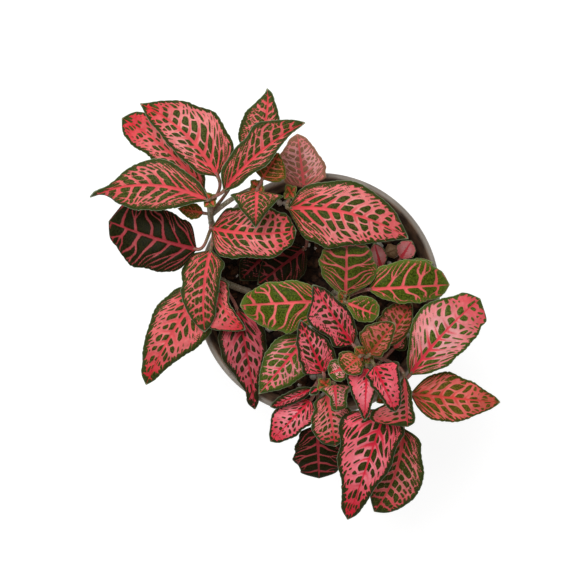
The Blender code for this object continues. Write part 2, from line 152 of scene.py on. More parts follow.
def newMaterial(name):
    material = bpy.data.materials.new(name)
    material.use_nodes = True
    tree = material.node_tree
    return material, tree, tree.nodes["Principled BSDF"]


def setInputs(tree, node, values):
    for key, value in values.items():
        if isinstance(value, bpy.types.NodeSocket):
            tree.links.new(value, node.inputs[key])
        else:
            node.inputs[key].default_value = value


def addNode(tree, kind, values, **settings):
    node = tree.nodes.new(kind)
    for key, value in settings.items():
        setattr(node, key, value)
    setInputs(tree, node, values)
    return node


def objectPlace(tree):
    return addNode(tree, "ShaderNodeTexCoord", {}).outputs["Object"]


def splitVector(tree, vector):
    return addNode(tree, "ShaderNodeSeparateXYZ", {0: vector}).outputs


def attributeParts(tree, name):
    attribute = addNode(tree, "ShaderNodeAttribute", {}, attribute_name=name)
    return splitVector(tree, attribute.outputs["Vector"])


def noiseAt(tree, place, scale, detail=2.0):
    values = {"Vector": place, "Scale": scale, "Detail": detail}
    return addNode(tree, "ShaderNodeTexNoise", values).outputs["Fac"]


def rampValue(tree, value, low, high, toLow=0.0, toHigh=1.0):
    values = {0: value, 1: low, 2: high, 3: toLow, 4: toHigh}
    return addNode(tree, "ShaderNodeMapRange", values, interpolation_type="SMOOTHSTEP").outputs[0]


def reckon(tree, operation, first, second=0.0):
    return addNode(tree, "ShaderNodeMath", {0: first, 1: second}, operation=operation).outputs[0]


def mixColours(tree, share, first, second):
    return addNode(tree, "ShaderNodeMix", {0: share, 6: first, 7: second}, data_type="RGBA").outputs[2]


def finishShader(tree, shader, colour, roughness, grain, strength, depth):
    # colour, roughness and a fine bump, its depth in millimetres
    values = {"Height": grain, "Strength": strength, "Distance": depth * mm}
    normal = addNode(tree, "ShaderNodeBump", values).outputs["Normal"]
    setInputs(tree, shader, {"Base Color": colour, "Roughness": roughness, "Normal": normal})


def tone(red, green, blue):
    # a screen colour, 0 to 255 each, as linear light
    def linear(value):
        value /= 255
        return value / 12.92 if value <= 0.04045 else ((value + 0.055) / 1.055) ** 2.4
    return (linear(red), linear(green), linear(blue), 1.0)


# camera, light and floor

camera = {"place": (-15.06, 4.28, 890), "width": 257.07, "distance": 800, "sensor": 36}  # millimetres
cameraData = bpy.data.cameras.new("camera")
cameraData.sensor_width = camera["sensor"]
cameraData.lens = camera["sensor"] * camera["distance"] / camera["width"]
cameraObject = bpy.data.objects.new("camera", cameraData)
cameraObject.location = Vector(camera["place"]) * mm
bpy.context.scene.collection.objects.link(cameraObject)
bpy.context.scene.camera = cameraObject
bpy.context.scene.view_settings.view_transform = "Standard"

studio = {
    "sky": 0.24, "backdrop": 0.97, "aim": (0, 0, 0.1),
    "lamps": {
        "key": {"place": (-0.40, 0.50, 1.5), "size": 0.8, "power": 18},
        "fill": {"place": (0.9, -0.7, 1.2), "size": 1.4, "power": 2.5},
    },
    "floorWidth": 8.0, "floorTone": 0.3, "floorGlow": 0.85, "floorRoughness": 0.9, "floorShine": 0.1,
}
world = bpy.data.worlds.new("studio")
bpy.context.scene.world = world
world.use_nodes = True
sky = world.node_tree.nodes["Background"]
seen = addNode(world.node_tree, "ShaderNodeLightPath", {}).outputs["Is Camera Ray"]
glow = addNode(world.node_tree, "ShaderNodeMapRange", {0: seen, 3: studio["sky"], 4: studio["backdrop"]})
setInputs(world.node_tree, sky, {"Color": (1, 1, 1, 1), "Strength": glow.outputs[0]})
for lampName, lamp in studio["lamps"].items():
    lampData = bpy.data.lights.new(lampName, "AREA")
    lampData.size = lamp["size"]
    lampData.energy = lamp["power"]
    lampObject = bpy.data.objects.new(lampName, lampData)
    lampObject.location = lamp["place"]
    aim = Vector(studio["aim"]) - Vector(lamp["place"])
    lampObject.rotation_euler = aim.to_track_quat("-Z", "Y").to_euler()
    bpy.context.scene.collection.objects.link(lampObject)

clearSelection()
bpy.ops.mesh.primitive_plane_add(size=studio["floorWidth"], location=(0, 0, 0))
floor = bpy.context.object
floor.name = "floor"
floorMaterial, floorTree, floorShader = newMaterial("floor")
setInputs(floorTree, floorShader, {
    "Base Color": (*[studio["floorTone"]] * 3, 1), "Emission Color": (1, 1, 1, 1),
    "Emission Strength": studio["floorGlow"], "Roughness": studio["floorRoughness"],
    "Specular IOR Level": studio["floorShine"],
})
floor.data.materials.append(floorMaterial)
print("camera, light and floor made")


# the pot, in millimetres

pot = {
    "rimRadius": 55.0, "footRadius": 39.0, "height": 90.0, "wall": 2.8, "floor": 3.2, "footCorner": 2.5,
    "innerCorner": (3.0, 0.8), "grooveInner": 27.0, "grooveOuter": 31.0, "grooveDepth": 1.0,
    "sides": 128, "cornerSteps": 6, "lipSteps": 10, "outerRings": (6, 86, 4), "innerRings": (85, 8, -4),
    "creaseAngle": 35,
    "light": tone(160, 151, 140), "dark": tone(130, 121, 111), "speck": tone(88, 78, 68),
    "innerBrowning": (tone(64, 42, 30), tone(140, 106, 80)), "innerBrownDepth": (1.4, 3.0), "innerBrownShare": 0.9,
}


def potRadius(height):
    return pot["footRadius"] + (pot["rimRadius"] - pot["footRadius"]) * height / pot["height"]


def potRings():
    # radius and height from the foot's middle, up the outside, over the lip and down inside
    high, wall, corner, ground = pot["height"], pot["wall"], pot["footCorner"], pot["floor"]
    lip, groove = wall / 2, pot["grooveDepth"]
    rings = [(pot["grooveInner"], 0), (pot["grooveInner"] + groove, groove)]
    rings += [(pot["grooveOuter"] - groove, groove), (pot["grooveOuter"], 0)]
    for step in range(pot["cornerSteps"] + 1):
        turn = math.radians(90 * step / pot["cornerSteps"] - 90)
        across = pot["footRadius"] - corner + corner * math.cos(turn)
        rings.append((across, corner + corner * math.sin(turn)))
    rings += [(potRadius(z), z) for z in range(*pot["outerRings"])]
    for step in range(pot["lipSteps"] + 1):
        turn = math.radians(180 * step / pot["lipSteps"])
        rings.append((pot["rimRadius"] - lip + lip * math.cos(turn), high - lip + lip * math.sin(turn)))
    rings += [(potRadius(z) - wall, z) for z in range(*pot["innerRings"])]
    inner = potRadius(ground) - wall
    along, rise = pot["innerCorner"]
    return rings + [(inner - rise, ground + rise), (inner - along, ground)]


def makePot():
    # the first ring is extruded from ring to ring, then both ends are closed
    rings = potRings()
    clearSelection()
    bpy.ops.mesh.primitive_circle_add(vertices=pot["sides"], radius=rings[0][0] * mm, fill_type="NOTHING")
    piece = bpy.context.object
    editAll(piece)
    for last, ring in zip(rings, rings[1:]):
        climb = (0, 0, (ring[1] - last[1]) * mm)
        bpy.ops.mesh.extrude_region_move(TRANSFORM_OT_translate={"value": climb})
        share = ring[0] / last[0]
        bpy.ops.transform.resize(value=(share, share, 1))
    bpy.ops.mesh.edge_face_add()
    bpy.ops.mesh.select_all(action="DESELECT")
    bpy.ops.mesh.select_mode(type="EDGE")
    bpy.ops.mesh.select_non_manifold()
    bpy.ops.mesh.edge_face_add()
    turnFacesOut()
    bpy.ops.object.shade_smooth_by_angle(angle=math.radians(pot["creaseAngle"]))
    return piece


def potMaterial():
    # mottled clay with dark specks, and darker brown in patches over the inside of the wall
    material, tree, shader = newMaterial("pot")
    place = objectPlace(tree)
    broad = rampValue(tree, noiseAt(tree, place, 38, 4), 0.35, 0.65)
    fine = noiseAt(tree, place, 900, 3)
    speck = rampValue(tree, noiseAt(tree, place, 620, 1), 0.66, 0.72)
    base = mixColours(tree, broad, pot["dark"], pot["light"])
    base = mixColours(tree, reckon(tree, "MULTIPLY", speck, 0.5), base, pot["speck"])
    x, y, z = splitVector(tree, place)
    square = reckon(tree, "ADD", reckon(tree, "POWER", x, 2.0), reckon(tree, "POWER", y, 2.0))
    radius = reckon(tree, "POWER", square, 0.5)
    slope = (pot["rimRadius"] - pot["footRadius"]) / pot["height"]
    outside = reckon(tree, "ADD", reckon(tree, "MULTIPLY", z, slope), pot["footRadius"] * mm)
    inward = reckon(tree, "SUBTRACT", outside, radius)
    # darker brown patches over the inside of the wall, starting a little way in from the outside
    innerBrownPatches = mixColours(tree, rampValue(tree, noiseAt(tree, place, 130, 3), 0.36, 0.6), *pot["innerBrowning"])
    shallow, deep = pot["innerBrownDepth"]
    innerBrowning = rampValue(tree, inward, shallow * mm, deep * mm, 0, pot["innerBrownShare"])
    base = mixColours(tree, innerBrowning, base, innerBrownPatches)
    finishShader(tree, shader, base, rampValue(tree, fine, 0.3, 0.7, 0.42, 0.6), fine, 0.25, 0.2)
    return material


potPiece = makePot()
potPiece.name = "pot_shell"
potPiece.data.materials.append(potMaterial())
finishPiece(potPiece, "pot", "pot")
print("pot made")


# the shoots, in millimetres, with heights from the pot's rim

plant = {
    "rimHeight": 90.0, "offCentre": (-0.6, -1.6), "soilTop": -13.0, "straight": 2.5, "rooted": 8.0,
    "branching": 0.82, "stalkWidth": 1.6, "seed": 100,
}
Shoot = namedtuple("Shoot", "foot bend top radius")
shoots = {
    "left_shoot": Shoot((-33, 23), (-50, 24, 4), (-46, 42, 45), 1.6),
    "left_branch": Shoot(None, (-36, 45, 38), (-26, 48, 45), 1.1),
    "low_left_shoot": Shoot((-31, 3), (-42, 6, -2), (-48, 12, 11), 1.5),
    "back_shoot": Shoot((-6, 30), (-6, 38, 10), (-12, 46, 33), 1.6),
    "centre_shoot": Shoot((8, 2), (10, 4, 15), (11, 0, 42), 1.6),
    "rosette_shoot": Shoot((16, -14), (15, -18, 20), (19, -24, 50), 1.6),
    "right_shoot": Shoot((24, -28), (24, -36, 6), (29, -43, 25), 1.6),
    "front_shoot": Shoot((2, -24), (-1, -34, 8), (3, -37, 32), 1.5),
    "seedling": Shoot((34, 11), (34, 11, -6), (35, 12, -2), 0.9),
}

# each leaf has its share of the way up its shoot, base, tip, width, bow to the left, arch, fold in degrees,
# bluntness and look, and then what sets it apart: the widths of its halves, and its traits
LeafForm = namedtuple("LeafForm", "shoot at base tip width bow arch fold blunt look own")
leafForms = {"left_shoot": {
    "left_leaf_1": (0.92, (-43, 52, 51), (-76, 83, 46), 26, -3.5, 4, 4, 0.6, "pink",
        {"left": (5.3, 7.7, 8.7, 7, 5.2, 1.9), "right": (9.5, 14.1, 14.5, 11.3, 5.9, 1.5),
         "filled": -0.1, "rise": 1, "pale": 0.8, "redTip": 0.9}),
    "left_leaf_2": (0.8, (-49.5, 46.8, 37), (-85, 78, 33), 18, -2.5, 3, 6, 0.5, "pink",
        {"left": (4, 6, 6.8, 7.6, 7.2, 4), "right": (4, 6, 7.4, 8.6, 7.7, 4.2),
         "filled": 0.3, "pale": 0.3, "redTip": 0.9}),
    "left_leaf_3": (1, (-47.5, 42, 47), (-98.5, 43.6, 38), 23, -5.5, 5, 4, 0.3, "net",
        {"left": (3.3, 8.7, 10.6, 9.8, 5.6, 0.8), "right": (4.7, 8.9, 11.3, 7.8, 2, 1.6),
         "twist": 70, "curl": 3}),
    "left_leaf_4": (0.66, (-53.2, 21.5, 26), (-92, 34, 20), 26, 1, 4, 4, 0.7, "dark",
        {"left": (7.8, 12.8, 14, 14.1, 8.8, 4.8), "right": (8.5, 11.8, 13, 12.5, 11, 8.5),
         "paintedShading": 0.14, "band": 1.6}),
    "left_leaf_5": (0.62, (-47, 21, 25), (-50, -15, 15), 20, -1.5, 4, -4, 0.4, "net",
        {"left": (6.2, 6.6, 6.5, 6, 5, 2.4), "right": (7.4, 10.3, 10.1, 9.4, 5.8, 2.6)}),
    "left_leaf_6": (0.72, (-46.3, 30.6, 29), (-9.5, 29.5, 32), 26, -2, 3, 6, 0.9, "pink",
        {"left": (8, 11, 12, 12, 9, 5.8), "right": (8.8, 11.3, 10.4, 10.8, 8.2, 4.5),
         "filled": -0.3, "rise": 1.3, "pale": 0.5, "redBase": 0.9, "wave": 0.8, "ragged": 0.08}),
    "left_leaf_7": (0.86, (-30, 60, 43), (-22, 89, 50), 16, -3, 2, 6, 0.1, "net",
        {"left": (6, 9.5, 10, 8.8, 4.6, 1.1), "right": (6, 8, 7, 5.4, 3, 1.7)}),
    "left_leaf_8": (1, (-40, 46, 51), (-6, 74, 56), 24, 2.5, 2, 26, 0.1, "net",
        {"left": (5, 8.3, 9.2, 11, 6, 2.4), "right": (3.4, 4.8, 6.6, 4.6, 1.6, 0.8),
         "paintedShading": 0.08, "wave": 0.05, "tooth": 0.3, "ragged": 0.08}),
    "left_leaf_9": (0.84, (-50, 37, 33), (-61, 39, 32), 7, 0, 1, 8, 0.3, "young", {}),
    "left_leaf_10": (0.2, (-25, 18, -6), (-35, 8, -7), 13, 0, 1, 6, 0.4, "dark", {"paintedShading": 0.5}),
}, "left_branch": {
    "left_leaf_11": (1, (-24, 51, 47), (-17, 62, 47), 16, 0, 1, 10, 0.4, "young", {}),
    "left_leaf_12": (1, (-26.4, 46, 48), (-27, 30, 43), 19, 0, 3, 6, 0.2, "net",
        {"left": (9.8, 8.5, 6.2, 4, 1.8, 0.8), "right": (9.6, 9.2, 7.7, 4.8, 2.2, 0.8),
         "filled": -0.4, "rise": 0.2, "band": 2.4}),
}, "low_left_shoot": {
    "low_left_leaf_1": (0.97, (-46, 9, 15), (-32, -14, 11), 20, -3, 3, 4, 0.1, "pink",
        {"left": (5, 5.5, 3.4, 3, 2.2, 1.2), "right": (5, 9, 11.5, 10, 5, 2),
         "filled": 0.45, "pale": 0.1, "redTip": 0.8, "redBase": 0.8, "band": 1.2, "stretch": 0.5}),
    "low_left_leaf_2": (0.9, (-51, 4, 11), (-77, -39, 2), 25, -1.5, 6, 4, 0.1, "pink",
        {"left": (7, 13, 14, 8, 4.7, 2.2), "right": (7.5, 11.3, 12, 8.8, 6.1, 3), "filled": 0.3,
         "pale": 0.15, "redTip": 0.9, "redBase": 0.7, "paintedShading": 0.03, "band": 3, "ragged": 0.09}),
    "low_left_leaf_3": (0.6, (-36, -5, 3), (-28, -50, 3), 20, 1, 4, 4, 0, "crimson",
        {"left": (6, 9.5, 8.8, 5.4, 2.6, 1.7), "right": (6, 11.5, 10.9, 7.1, 3.3, 2.5),
         "filled": 0.3, "redTip": 0.3, "redBase": 0.3, "paintedShading": 0.52, "band": 2.4}),
}, "back_shoot": {
    "back_leaf_1": (0.98, (-13, 39, 35), (39, 26, 31), 29, 4, 6, 4, 0.3, "pink",
        {"left": (7.5, 11.5, 13.5, 11.8, 7, 2.3), "right": (10.2, 15.4, 15.2, 11.6, 6.8, 2.2),
         "filled": -0.55, "rise": 1.7, "pale": 0.7, "redTip": 0.1, "redBase": 0.9, "band": 2.3}),
    "back_leaf_2": (0.8, (-6, 49, 16), (-9, 73, 13), 22, 0, 3, 4, 1, "pale",
        {"left": (6.8, 9, 10, 9.2, 5.2, 3), "right": (8, 10.5, 9.8, 7.2, 5.1, 2.5),
         "filled": -0.2, "rise": 0.3, "pale": 2, "redTip": 0, "redBase": 0.2, "paintedShading": -0.5}),
    "back_leaf_3": (0.4, (-6, 22, 2), (-27, 6, 1), 19, 0, 2, 4, 0.4, "dark", {"paintedShading": 0.45}),
}, "centre_shoot": {
    "centre_leaf_1": (1, (11.3, 1.4, 44), (12.6, 27, 26), 25, 0, 3, 4, 1, "green",
        {"left": (4.3, 8.5, 11.5, 11.3, 9, 5), "right": (4.5, 11, 12.8, 12.3, 10, 5.5),
         "redBase": 1, "paintedShading": 0.44}),
    "centre_leaf_2": (0.9, (22, 4, 37.3), (57, 6, 30), 18, 0, 4, 4, 0.7, "green",
        {"left": (7.5, 10.4, 11.7, 11.6, 8.2, 4.4), "right": (3, 5.7, 6.9, 6.8, 5.4, 3)}),
    "centre_leaf_3": (1, (11.7, -1.6, 47.6), (25.2, -7.2, 47), 15, 0, 1, 4, 1, "green",
        {"left": (2, 4.3, 5.7, 6, 5, 3), "right": (2, 3.6, 5.3, 5, 3.9, 2.4)}),
    "centre_leaf_4": (0.92, (1, -1, 37.3), (-34, -3, 30), 23, 0, 4, 4, 0.5, "green",
        {"left": (7, 11, 12.6, 11.2, 7.4, 3.5), "right": (6, 8.8, 9.6, 9.1, 6.7, 3.6)}),
    "centre_leaf_5": (0.55, (-5, -17, 27), (-26, -42, 21), 20, 0, 3, 4, 0.4, "pale",
        {"filled": -0.3, "rise": 0.2, "pale": 0.5, "redTip": 0, "paintedShading": 0.04, "band": 2.6}),
}, "rosette_shoot": {
    "rosette_leaf_1": (0.9, (14.5, -19.5, 43), (-2.7, 6, 41), 13, 0, 2, 12, 0.1, "crimson",
        {"left": (6, 7, 10, 10, 4, 1.5), "right": (4, 6.1, 6.9, 5.2, 4, 1.5),
         "filled": -0.15, "paintedShading": 0.24, "stretch": 0.36, "ragged": 0.09}),
    "rosette_leaf_2": (1, (21, -23.2, 57), (31.3, -9.9, 58), 15, 0, 1, 10, 0.3, "coral",
        {"left": (5.4, 8.5, 9, 7.1, 4.6, 2.2), "right": (3.8, 4.5, 4.7, 3.5, 2.4, 1.4),
         "redTip": 0, "redBase": 1, "baseReach": 0.45, "paintedShading": 0.28, "stretch": 0.32, "wave": 0}),
    "rosette_leaf_3": (1, (16.6, -24.3, 56), (9.8, -30.3, 55), 13, 0, 1, 8, 0.9, "coral",
        {"left": (3.2, 5, 5.8, 5.2, 3.6, 2), "right": (3.5, 5.5, 6.5, 6.3, 4.8, 2.8),
         "redTip": 0, "redBase": 0.9, "baseReach": 0.4, "stretch": 0.32}),
    "rosette_leaf_4": (0.9, (11, -29, 48), (4, -32, 46), 8, 0, 1, 6, 0.6, "pale",
        {"left": (3, 4.5, 5, 4.5, 3.4, 2), "right": (3, 4.5, 5, 4.8, 3.6, 2.2)}),
    "rosette_leaf_5": (0.92, (20, -29, 51.3), (19.4, -52, 44), 12, 0, 2, 8, 0, "crimson",
        {"left": (4.2, 4.8, 4.2, 3, 2, 1), "right": (7, 7.9, 6.5, 4.2, 2.3, 1),
         "filled": 0.8, "pale": 0.9}),
    "rosette_leaf_6": (0.95, (23.2, -28, 54), (32.6, -48.2, 46), 13, 0, 2, 8, 0.1, "crimson",
        {"left": (8, 8.5, 7.6, 5.8, 4.3, 2.2), "right": (4.5, 4.8, 4.4, 3, 2.5, 1.2),
         "filled": 0.6, "pale": 0.5, "ragged": 0.1}),
    "rosette_leaf_7": (0.76, (29, -20, 30), (41, -2, 25), 16, 0, 2, 6, 0.2, "coral",
        {"left": (5, 8, 9, 8, 6, 3), "right": (3, 5, 5.5, 5, 3, 1.2), "filled": -0.3, "paintedShading": 0.4}),
    "rosette_leaf_8": (0.82, (37, -34, 36), (38.7, -55.7, 31), 12, 0, 2, 6, 0.3, "pink",
        {"left": (1.5, 2.6, 2.6, 3, 3.4, 2.5), "right": (2, 4, 8, 15, 15.5, 7), "filled": 0.2}),
}, "right_shoot": {
    "right_leaf_1": (0.98, (40, -33, 29), (70, 0, 33), 24, 2, 6, 4, 0.7, "pale",
        {"left": (4.6, 9, 14.3, 13.1, 8.1, 4.8), "right": (5.4, 10.2, 11.4, 11.7, 9.8, 7), "filled": -0.1,
         "rise": 1, "pale": 0.8, "redTip": 0.6, "redBase": 1, "stretch": 0.36, "ragged": 0.08}),
    "right_leaf_2": (0.9, (41, -42, 20), (80.8, -46, 15), 22, 0, 3, 4, 0.1, "coral",
        {"left": (5.3, 10.2, 10.6, 8.3, 4.5, 2), "right": (5.6, 10.2, 10.5, 8.8, 4.9, 2.1),
         "filled": 0.25, "redBase": 0.9, "baseReach": 0.2}),
    "right_leaf_3": (0.95, (29.5, -48.5, 23), (13.5, -99, 7), 25, 0, 5, 4, 0.1, "crimson",
        {"left": (8.6, 10.5, 10, 7.2, 5, 2.7), "right": (12, 16.4, 14.2, 10, 5.8, 3.2), "filled": -0.1,
         "rise": 1, "pale": 0.9, "redTip": 0.9, "redBase": 0.2, "band": 2.4, "ragged": 0.09}),
    "right_leaf_4": (0.75, (38, -58, 11), (26, -97, -5), 24, 3, 3, 4, 0.8, "pink",
        {"left": (6.3, 9.6, 12.5, 12.7, 9.5, 4.5), "right": (5, 8, 10, 9.5, 7, 3),
         "filled": -0.4, "rise": 0.4, "paintedShading": 0.12, "band": 2.2}),
    "right_leaf_5": (0.25, (35, -23, -6), (41, -17, -5), 8, 0, 1, 4, 0.6, "pink", {}),
}, "front_shoot": {
    "front_leaf_1": (0.99, (2, -32, 38), (-8, -9, 39.4), 16, 0, 2, 12, 0.2, "crimson",
        {"left": (6.3, 7.7, 7.1, 5.6, 3.4, 1.2), "right": (6, 8, 8, 5.1, 2.5, 1),
         "filled": -0.2, "pale": 0.8, "paintedShading": 0.2, "stretch": 0.34}),
    "front_leaf_2": (0.5, (0, -57, 5), (1, -82, -6), 21, 0, 2, 4, 0.9, "dark",
        {"left": (6.5, 9, 10.5, 10.8, 9, 6.1), "right": (6.3, 8.6, 10.7, 11, 8.6, 5.6), "paintedShading": 0.2}),
    "front_leaf_3": (0.62, (-3, -45, 13), (-21, -64, 8), 16, 0, 3, 4, 0.2, "crimson",
        {"left": (5, 7.5, 6.8, 6.1, 4.4, 2.3), "right": (4, 7, 8, 8, 4.6, 2), "filled": 0.5, "pale": 1}),
    "front_leaf_4": (0.72, (-3, -40, 19), (-21, -48, 16), 11, 0, 2, 4, 0.2, "crimson",
        {"left": (2, 3, 3.2, 3, 2.4, 1.5), "right": (2, 3, 3.2, 2.8, 2, 1), "paintedShading": 0.2, "roll": 20}),
    "front_leaf_5": (0.8, (4, -42, 21.8), (8, -66, 11), 16, 0, 3, 4, 0.5, "pink",
        {"left": (6, 8, 9.5, 8.5, 5.5, 2.5), "right": (5.2, 6.8, 8.9, 9, 7, 4),
         "filled": 0.2, "redTip": 0.8, "stretch": 0.34}),
    "front_leaf_6": (0.97, (7, -37, 34), (8, -49, 29), 12, 0, 2, 6, 0.5, "pale",
        {"left": (6.5, 6, 5, 4.7, 4.5, 3.4), "right": (5.5, 5, 2.8, 2.6, 2.4, 1.6)}),
    "front_leaf_7": (0.88, (0, -39, 27), (-4, -42, 26), 4, 0, 0, 6, 0.3, "crimson", {}),
}, "seedling": {
    "seedling_leaf_1": (0.3, (38, 18, -4), (43, 26, -4), 9, 0, 1, 4, 0.9, "pale",
        {"filled": 1.2, "redTip": 0, "redBase": 0, "band": 0.4}),
    "seedling_leaf_2": (0.98, (39, 14, 0), (52, 16, 4), 6, 0, 1, 4, 0.6, "green", {}),
    "seedling_leaf_3": (0.6, (29, 14, -4), (26, 25, -4), 8, 0, 1, 4, 0.7, "pale",
        {"filled": 0.8, "pale": 1, "redTip": 0, "redBase": 0, "band": 0.5}),
}, None: {
    "dry_leaf": (0, (31, 20, -9.5), (38, 23, -9.5), 7, 0, 1.5, -14, 0.7, "dry", {}),
}}
leaves = {}
for shootName, forms in leafForms.items():
    leaves.update({name: LeafForm(shootName, *form) for name, form in forms.items()})


def inPot(points):
    shift = np.array([*plant["offCentre"], plant["rimHeight"]])
    return (np.asarray(points) + shift) * mm


def stemPoint(name, share):
    shoot = shoots[name]
    if shoot.foot is None:
        start = branchStart()
    else:
        start = np.array([*shoot.foot, plant["soilTop"] + plant["straight"]])
    bend, top = np.array(shoot.bend, float), np.array(shoot.top, float)
    return start * (1 - share) ** 2 + bend * 2 * (1 - share) * share + top * share**2


def stemDirection(name, share):
    return unit(stemPoint(name, share + nudge) - stemPoint(name, share - nudge))


def awayFromStem(name, share, towards):
    # a stem's middle and direction there, and the direction straight out of it towards a place
    centre, along = stemPoint(name, share), stemDirection(name, share)
    away = np.array(towards, float) - centre
    return centre, along, unit(away - along * away.dot(along))


def branchStart():
    centre, _, away = awayFromStem("left_shoot", plant["branching"], shoots["left_branch"].bend)
    return centre + away * shoots["left_shoot"].radius * 0.3


# the leaves' looks

# side veins on each half, their slant and stray, midrib in millimetres, side veins at base and tip and the
# net from bare to full as shares of the gap between two side veins, the green band along the edge in
# millimetres, where one row of islands becomes two, how far they puff up, and whether the veins fork
VeinForm = namedtuple("VeinForm", "pairs slant stray midrib rib net band fork quilt forked")
veinForms = {
    "pink": VeinForm(9, 0.42, 0.22, 0.8, (0.14, 0.07), (0.08, 0.25), 1.9, 0.5, 0.42, False),
    "net": VeinForm(9, 0.42, 0.25, 0.8, (0.13, 0.05), (0.05, 0.11), 2.1, 0.55, 0.36, False),
    "pale": VeinForm(8, 0.38, 0.25, 0.7, (0.12, 0.05), (0.12, 0.26), 1.6, 0.48, 0.34, False),
    "crimson": VeinForm(8, 0.42, 0.25, 0.5, (0.1, 0.05), (0.13, 0.28), 1.6, 0.48, 0.34, False),
    "coral": VeinForm(7, 0.4, 0.25, 0.6, (0.12, 0.05), (0.1, 0.2), 1.2, 0.5, 0.28, False),
    "dark": VeinForm(6, 0.34, 0.3, 0.8, (0.09, 0.04), (-0.3, -0.3), 2.0, 0.55, 0.34, True),
    "green": VeinForm(5, 0.34, 0.42, 0.7, (0.08, 0.045), (-0.3, -0.3), 2.0, 0.5, 0.36, True),
    "young": VeinForm(6, 0.36, 0.2, 0.5, (0.1, 0.05), (0.02, 0.06), 0.8, 0.6, 0.2, False),
    "dry": VeinForm(6, 0.34, 0.2, 0.4, (0.08, 0.05), (0.02, 0.05), 0.5, 0.6, 0.35, False),
}
# the pink lines, their pale tone (random streaks and a painted highlight over the middle), vein and red
# tones, dark and light of the islands, the margin, and the rim, a painted highlight of the edge hairs
leafTones = {
    "pink": ((238, 100, 104), (248, 172, 166), (240, 92, 96), (222, 36, 52),
        (40, 50, 10), (88, 94, 40), (50, 64, 26), (150, 164, 128)),
    "net": ((240, 100, 102), (246, 146, 142), (238, 88, 94), (208, 40, 52),
        (44, 52, 12), (96, 100, 48), (54, 70, 32), (156, 172, 138)),
    "pale": ((240, 116, 120), (250, 186, 186), (234, 70, 84), (218, 40, 58),
        (52, 72, 14), (104, 116, 50), (62, 82, 30), (156, 172, 130)),
    "crimson": ((246, 74, 94), (250, 146, 156), (228, 42, 66), (206, 22, 44),
        (34, 38, 10), (74, 72, 30), (38, 48, 22), (132, 144, 114)),
    "coral": ((234, 92, 86), (244, 136, 128), (230, 74, 70), (158, 76, 36),
        (64, 68, 12), (122, 100, 36), (54, 70, 24), (156, 164, 118)),
    # the dark look is painted shade: darkened tones for leaves that lie in shadow under the others
    "dark": ((176, 60, 68), (200, 96, 98), (172, 50, 60), (160, 34, 46),
        (14, 18, 2), (42, 44, 14), (34, 42, 16), (118, 130, 100)),
    "green": ((242, 100, 102), (246, 128, 126), (242, 96, 98), (170, 48, 44),
        (38, 54, 4), (94, 108, 28), (96, 118, 44), (158, 176, 120)),
    "young": ((206, 88, 60), (216, 118, 90), (206, 80, 56), (160, 66, 34),
        (66, 62, 10), (112, 88, 30), (78, 88, 24), (140, 150, 84)),
    "dry": ((176, 140, 104), (200, 166, 130), (150, 112, 80), (130, 90, 64),
        (170, 134, 100), (206, 174, 138), (120, 90, 62), (180, 150, 116)),
}


def leafMaterial(lookName):
    # the pink net with paler parts (random streaks and a painted highlight) and redder parts, then the
    # green islands, the margin, the pale rim as a painted highlight, and painted shade and painted light
    # over the leaf
    fill, pale, ribs, red, dark, light, margin, edge = (tone(*colour) for colour in leafTones[lookName])
    material, tree, shader = newMaterial(lookName + "_leaf")
    place = objectPlace(tree)
    inIsland, fromEdge, fromRib = attributeParts(tree, "veins")
    paintedHighlight, redness, paintedShadingAmount = attributeParts(tree, "paintedLightAndTint")
    fine = noiseAt(tree, place, 1500, 2)
    broad = noiseAt(tree, place, 160, 2)
    rough = reckon(tree, "MULTIPLY", reckon(tree, "SUBTRACT", fine, 0.5), 0.12)
    island = rampValue(tree, reckon(tree, "ADD", inIsland, rough), -0.02, 0.05)
    offRib = rampValue(tree, reckon(tree, "ADD", fromRib, rough), -0.05, 0.16)
    streaks = rampValue(tree, noiseAt(tree, place, 620, 2), 0.42, 0.68, 0, 0.2)
    # paler towards the pale tone by random streaks and by a painted highlight over the middle of the blade
    pink = mixColours(tree, reckon(tree, "ADD", paintedHighlight, streaks), fill, pale)
    pink = mixColours(tree, offRib, ribs, pink)
    pink = mixColours(tree, redness, pink, red)
    green = mixColours(tree, rampValue(tree, fine, 0.28, 0.72), dark, light)
    nearEdge = rampValue(tree, fromEdge, 0.6, 2.6, 1, 0)
    green = mixColours(tree, reckon(tree, "MULTIPLY", nearEdge, 0.7), green, margin)
    base = mixColours(tree, island, pink, green)
    # painted highlight: a pale line along the very edge, where the fine hairs catch the light
    base = mixColours(tree, rampValue(tree, fromEdge, 0.08, 0.34, 0.75, 0), base, edge)
    # random broad darker patches, plus painted shade for leaves lying in shadow, mixed towards a dark brown
    mottleAndPaintedShade = rampValue(tree, broad, 0.3, 0.7, 0.0, 0.16)
    mottleAndPaintedShade = reckon(tree, "ADD", mottleAndPaintedShade, reckon(tree, "MULTIPLY", paintedShadingAmount, 0.75))
    base = mixColours(tree, mottleAndPaintedShade, base, tone(30, 14, 10))
    paintedPaleLight = reckon(tree, "MULTIPLY", paintedShadingAmount, -0.75)  # painted pale light, where the painted shading is below nothing
    base = mixColours(tree, paintedPaleLight, base, tone(232, 142, 134))
    setInputs(tree, shader, {"Specular IOR Level": rampValue(tree, island, 0, 1, 0.16, 0.05)})
    finishShader(tree, shader, base, rampValue(tree, fine, 0.3, 0.7, 0.36, 0.52), fine, 0.4, 0.2)
    return material


